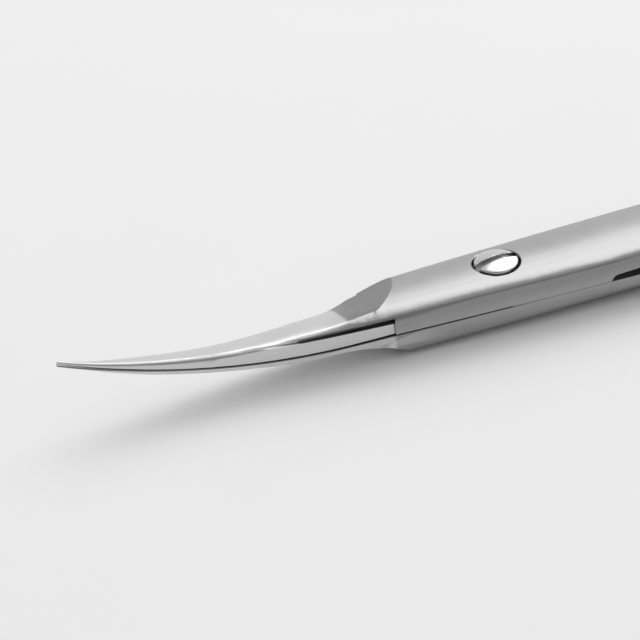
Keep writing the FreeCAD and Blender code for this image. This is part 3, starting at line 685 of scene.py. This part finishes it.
def turned_screw():
    """The screw's outline, drawn point by point and spun about the pivot axis."""
    points = [Vector((out / 1000, 0, height / 1000)) for out, height in screw_profile()]
    bpy.ops.object.select_all(action="DESELECT")
    bpy.ops.mesh.primitive_plane_add(size=0.001)
    piece = bpy.context.object
    piece.name = piece.data.name = "pivot_screw_polished"
    bpy.ops.object.mode_set(mode="EDIT")
    bpy.ops.mesh.select_all(action="SELECT")
    bpy.ops.mesh.merge(type="CENTER")
    bpy.ops.transform.translate(value=points[0])
    for before, after in zip(points, points[1:]):
        bpy.ops.mesh.extrude_region_move(TRANSFORM_OT_translate={"value": after - before})
    bpy.ops.mesh.select_all(action="SELECT")
    bpy.ops.mesh.spin(steps=TURN_STEPS, angle=2 * pi, center=(0, 0, 0), axis=(0, 0, 1))
    bpy.ops.mesh.select_all(action="SELECT")
    bpy.ops.mesh.remove_doubles(threshold=0.000001)
    bpy.ops.mesh.normals_make_consistent(inside=False)
    bpy.ops.object.mode_set(mode="OBJECT")
    return piece


def from_slot(x, y):
    """Distance of a place from the middle of the driver slot."""
    return abs(y * cos(SLOT_TURN) - x * sin(SLOT_TURN))


def cut_slot(piece):
    """Mill the driver slot and break its edges."""
    floor = RIM + DOME_RISE - SLOT_DEPTH
    bpy.ops.object.select_all(action="DESELECT")
    bpy.ops.mesh.primitive_cube_add(size=0.001, location=(0, 0, (floor + 0.5) / 1000),
                                    rotation=(0, 0, SLOT_TURN), scale=(5, SLOT_WIDTH, 1))
    mill = bpy.context.object
    bpy.ops.object.transform_apply(location=True, rotation=True, scale=True)
    select_only(piece)
    cut = piece.modifiers.new("slot", "BOOLEAN")
    cut.operation = "DIFFERENCE"
    cut.object = mill
    bpy.ops.object.modifier_apply(modifier="slot")
    bpy.data.objects.remove(mill)
    mesh = piece.data

    def on_wall(edge):
        ends = [in_mm(mesh.vertices[index].co) for index in edge.vertices]
        return all(z > floor + 0.05 and abs(from_slot(x, y) - SLOT_WIDTH / 2) < 0.001 for x, y, z in ends)

    pick(piece, edges=on_wall)
    bpy.ops.mesh.bevel(offset=SLOT_BEVEL / 1000, segments=2)
    done_picking()


class SCISSORS_OT_pivot_screw(bpy.types.Operator):
    """The domed, slotted screw that the halves turn on"""

    bl_idname = "scissors.pivot_screw"
    bl_label = "Pivot screw"

    def execute(self, context):
        piece = turned_screw()
        cut_slot(piece)
        bpy.ops.object.shade_smooth_by_angle(angle=SCREW_SMOOTH)
        piece.data.materials.append(polished_steel())
        piece.data.materials.append(milled_steel())
        for face in piece.data.polygons:
            x, y, z = in_mm(face.center)
            in_slot = from_slot(x, y) < SLOT_WIDTH / 2 + 0.001
            on_wall = hypot(x, y) > HEAD_RADIUS - 0.06 and abs(face.normal.z) < 0.6
            face.material_index = int(on_wall or in_slot and z > RIM + DOME_RISE - SLOT_DEPTH - 0.01)
        settle(piece, "pivot_screw", "screw")
        return {"FINISHED"}


# ---------------------------------------------------------------- stage

TABLE_GAP = 0.00002             # metres between the scissors and the table
IMAGE_SIDE = 640                # pixels
PIXELS_PER_M = 13260            # at the screw head
SCREW_HEAD = Vector((0, 0, 0.0045))
SCREW_IN_IMAGE = (496.1, 262.5)  # pixels from the left and from the top
SENSOR = 36                     # millimetres


def table_material(colour):
    material = bpy.data.materials.new("pale_table")
    material.use_nodes = True
    tree = material.node_tree
    shader = tree.nodes["Principled BSDF"]
    shader.inputs["Roughness"].default_value = 0.9
    place = node(tree, "ShaderNodeTexCoord", (-900, 0))
    grain = node(tree, "ShaderNodeTexNoise", (-700, 0))
    grain.inputs["Scale"].default_value = 60
    shade = node(tree, "ShaderNodeMapRange", (-500, 0))
    shade.inputs["To Min"].default_value = 0.99
    shade.inputs["To Max"].default_value = 1.01
    tint = node(tree, "ShaderNodeMix", (-250, 0), data_type="RGBA", blend_type="MULTIPLY")
    tint.inputs["Factor"].default_value = 1.0
    tint.inputs[6].default_value = (*colour, 1)
    tree.links.new(place.outputs["Object"], grain.inputs["Vector"])
    tree.links.new(grain.outputs["Fac"], shade.inputs["Value"])
    tree.links.new(shade.outputs["Result"], tint.inputs[7])
    tree.links.new(tint.outputs[2], shader.inputs["Base Color"])
    return material


def room(look):
    """Plain room light that grows evenly from the camera's side to the far right."""
    world = bpy.data.worlds.new("room")
    world.use_nodes = True
    tree = world.node_tree
    place = node(tree, "ShaderNodeTexCoord", (-800, 0))
    facing = node(tree, "ShaderNodeVectorMath", (-600, 0), operation="DOT_PRODUCT")
    facing.inputs[1].default_value = (cos(look.room_bearing), sin(look.room_bearing), 0)
    level = node(tree, "ShaderNodeMath", (-400, 0), operation="MULTIPLY_ADD")
    level.inputs[1].default_value = look.room_change
    level.inputs[2].default_value = look.room_light
    background = tree.nodes["Background"]
    background.inputs["Color"].default_value = (1, 1, 1, 1)
    tree.links.new(place.outputs["Generated"], facing.inputs[0])
    tree.links.new(facing.outputs["Value"], level.inputs[0])
    tree.links.new(level.outputs["Value"], background.inputs["Strength"])
    return world


def camera_matrix(look):
    """Camera place and turn that put the screw head at its point of the picture."""
    bearing, height, roll = look.view_bearing, look.view_height, look.view_roll
    back = Vector((sin(bearing) * cos(height), -cos(bearing) * cos(height), sin(height)))
    level = Vector((cos(bearing), sin(bearing), 0))
    upright = back.cross(level)
    across = cos(roll) * level - sin(roll) * upright
    upward = sin(roll) * level + cos(roll) * upright
    right_of_middle = (SCREW_IN_IMAGE[0] - IMAGE_SIDE / 2) / PIXELS_PER_M
    above_middle = (IMAGE_SIDE / 2 - SCREW_IN_IMAGE[1]) / PIXELS_PER_M
    place = SCREW_HEAD + back * look.view_distance - across * right_of_middle - upward * above_middle
    return Matrix((
        (across.x, upward.x, back.x, place.x),
        (across.y, upward.y, back.y, place.y),
        (across.z, upward.z, back.z, place.z),
        (0, 0, 0, 1)))


def soft_lamp(name, power, width, bearing, height):
    """A square lamp that looks at the joint."""
    toward = Vector((cos(bearing) * cos(height), sin(bearing) * cos(height), sin(height)))
    distance = bpy.context.scene.scissors_stage.lamp_distance
    bpy.ops.object.light_add(type="AREA", location=toward * distance,
                             rotation=toward.to_track_quat("Z", "Y").to_euler())
    lamp = bpy.context.object
    lamp.name = name
    lamp.data.size = width
    lamp.data.energy = power
    return lamp


class SCISSORS_OT_stage(bpy.types.Operator):
    """Pale table, soft lamp, glowing card, room light and camera"""

    bl_idname = "scissors.stage"
    bl_label = "Table, light and camera"

    def execute(self, context):
        scene = context.scene
        look = scene.scissors_stage
        bpy.ops.object.select_all(action="DESELECT")
        bpy.ops.mesh.primitive_plane_add(size=look.table_width, location=(0, 0, -TABLE_GAP))
        table = context.object
        table.name = "table"
        table.data.materials.append(table_material(look.table_colour))
        lamp = soft_lamp("lamp", look.lamp_power, look.lamp_width, look.lamp_bearing, look.lamp_height)
        lamp.visible_glossy = False
        card = soft_lamp("card", look.card_power, look.card_width, look.card_bearing, look.card_height)
        card.visible_diffuse = False
        scene.world = room(look)
        bpy.ops.object.camera_add()
        camera = context.object
        camera.name = "camera"
        camera.data.sensor_width = SENSOR
        camera.data.sensor_fit = "HORIZONTAL"
        camera.data.lens = PIXELS_PER_M * look.view_distance / IMAGE_SIDE * SENSOR
        camera.data.clip_start = 0.01
        camera.matrix_world = camera_matrix(look)
        scene.camera = camera
        scene.view_settings.view_transform = "Standard"
        return {"FINISHED"}


# ---------------------------------------------------------------- add-on

class SCISSORS_PT_parts(bpy.types.Panel):
    """The pieces of the scissors and the settings that they are made from"""

    bl_label = "Cuticle scissors"
    bl_space_type = "VIEW_3D"
    bl_region_type = "UI"
    bl_category = "Scissors"

    def draw(self, context):
        for settings, operators in (
                (context.scene.scissors_steel, ("scissors.halves", "scissors.pivot_screw")),
                (context.scene.scissors_stage, ("scissors.stage",))):
            box = self.layout.box()
            for name in settings.__annotations__:
                box.prop(settings, name)
            for operator in operators:
                box.operator(operator)


CLASSES = (SteelSettings, StageSettings, SCISSORS_OT_halves, SCISSORS_OT_pivot_screw,
           SCISSORS_OT_stage, SCISSORS_PT_parts)


def register():
    for kind in CLASSES:
        bpy.utils.register_class(kind)
    bpy.types.Scene.scissors_steel = PointerProperty(type=SteelSettings)
    bpy.types.Scene.scissors_stage = PointerProperty(type=StageSettings)


def unregister():
    del bpy.types.Scene.scissors_stage
    del bpy.types.Scene.scissors_steel
    for kind in reversed(CLASSES):
        bpy.utils.unregister_class(kind)


def main():
    register()
    bpy.ops.scissors.halves()
    bpy.ops.scissors.pivot_screw()
    bpy.ops.scissors.stage()


if __name__ == "__main__":
    main()
